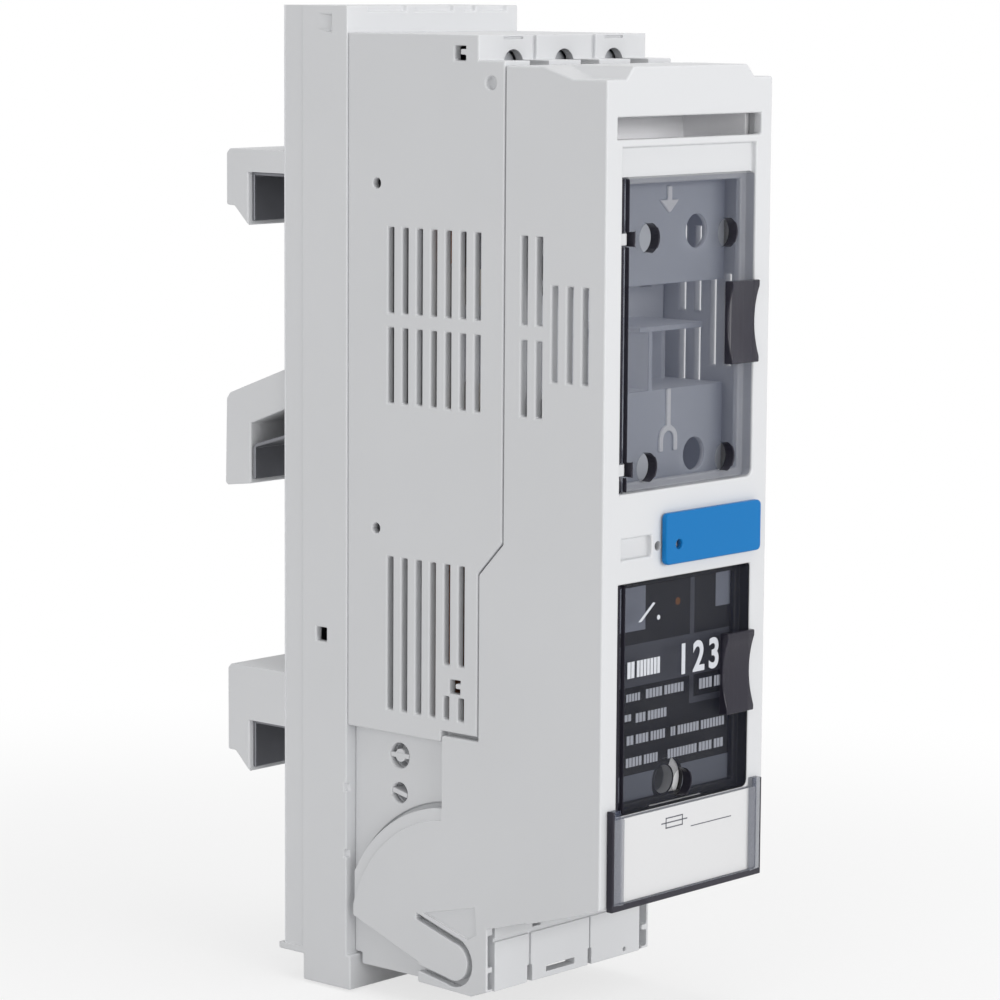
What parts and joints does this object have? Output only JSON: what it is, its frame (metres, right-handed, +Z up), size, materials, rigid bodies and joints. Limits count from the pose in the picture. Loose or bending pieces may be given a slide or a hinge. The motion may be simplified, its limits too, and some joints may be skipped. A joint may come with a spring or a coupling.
{
  "type": "fuse switch disconnector",
  "caption": "Slim three-pole fuse switch on a busbar adapter: a vented case with back hooks, a swing-out lid with tinted hinged windows, a sealing slide and a label pocket.",
  "frame": {"origin": "on the adapter base's back face, where it meets the busbars, half way across and 105 mm below its top edge", "axes": "+X to the right as seen from the front, +Y back towards the busbars, +Z up"},
  "size_m": [0.054, 0.1104, 0.2112],
  "materials": {
    "case_plastic": "light grey moulded, fine satin",
    "base_plastic": "light grey moulded, fine satin",
    "inner_plastic": "pale grey moulded",
    "smoke_plastic": "clear, smoke tinted, polished",
    "black_plastic": "matt black",
    "blue_plastic": "blue moulded, satin",
    "card": "white card",
    "ceramic": "fired ceramic, stands in as a gloss plastic",
    "copper": "bare copper strip",
    "tinned_metal": "tinned, dull",
    "steel": "zinc plated"
  },
  "bodies": {
    "base": {"adapter_base": "base_plastic", "latch_springs": "steel", "housing": "case_plastic", "housing_screws": "steel", "busbar_contact_1": "tinned_metal", "busbar_contact_2": "tinned_metal", "busbar_contact_3": "tinned_metal", "line_strip_1": "copper", "line_strip_2": "copper", "line_strip_3": "copper", "line_clamp_1": "steel", "line_clamp_2": "steel", "line_clamp_3": "steel", "line_clamp_screws": "steel", "contact_deck": "inner_plastic", "deck_screws": "steel", "upper_cradle_1": "copper", "upper_cradle_2": "copper", "upper_cradle_3": "copper", "lower_cradle_1": "copper", "lower_cradle_2": "copper", "lower_cradle_3": "copper", "load_clamp_1": "steel", "load_clamp_2": "steel", "load_clamp_3": "steel", "load_clamp_screws": "steel", "terminal_block": "inner_plastic", "side_screws": "case_plastic", "bottom_cover": "base_plastic"},
    "latch": {"latch_hook": "base_plastic"},
    "lid": {"lid_shell": "case_plastic", "grip_pocket": "case_plastic", "fuse_carrier": "inner_plastic", "fuse_tube_1": "ceramic", "fuse_tube_2": "ceramic", "fuse_tube_3": "ceramic", "fuse_caps_1": "tinned_metal", "fuse_caps_2": "tinned_metal", "fuse_caps_3": "tinned_metal", "fuse_element_1": "tinned_metal", "fuse_element_2": "tinned_metal", "fuse_element_3": "tinned_metal", "rating_plate": "black_plastic", "label_holder": "smoke_plastic", "label_card": "card"},
    "upper_window": {"upper_window": "smoke_plastic"},
    "lower_window": {"lower_window": "smoke_plastic"},
    "seal": {"seal_slider": "blue_plastic"}
  },
  "joints": [
    {"name": "lid_hinge", "type": "hinge", "parent": "base", "child": "lid", "pos_m": [0, -0.0493, -0.0946], "axis": [1, 0, 0], "range_deg": [0, 90]},
    {"name": "upper_window_hinge", "type": "hinge", "parent": "lid", "child": "upper_window", "pos_m": [-0.0192, -0.0871, 0.03975], "axis": [0, 0, -1], "range_deg": [0, 90]},
    {"name": "lower_window_hinge", "type": "hinge", "parent": "lid", "child": "lower_window", "pos_m": [-0.0192, -0.0871, -0.0345], "axis": [0, 0, -1], "range_deg": [0, 90]},
    {"name": "seal_slide", "type": "slide", "parent": "lid", "child": "seal", "axis": [-1, 0, 0], "range_m": [0, 0.005]},
    {"name": "latch_slide", "type": "slide", "parent": "base", "child": "latch", "axis": [0, 0, 1], "range_m": [0, 0.0045], "stiffness_N_per_m": 800, "springref_m": -0.005, "deforming": ["latch_springs"]}
  ]
}
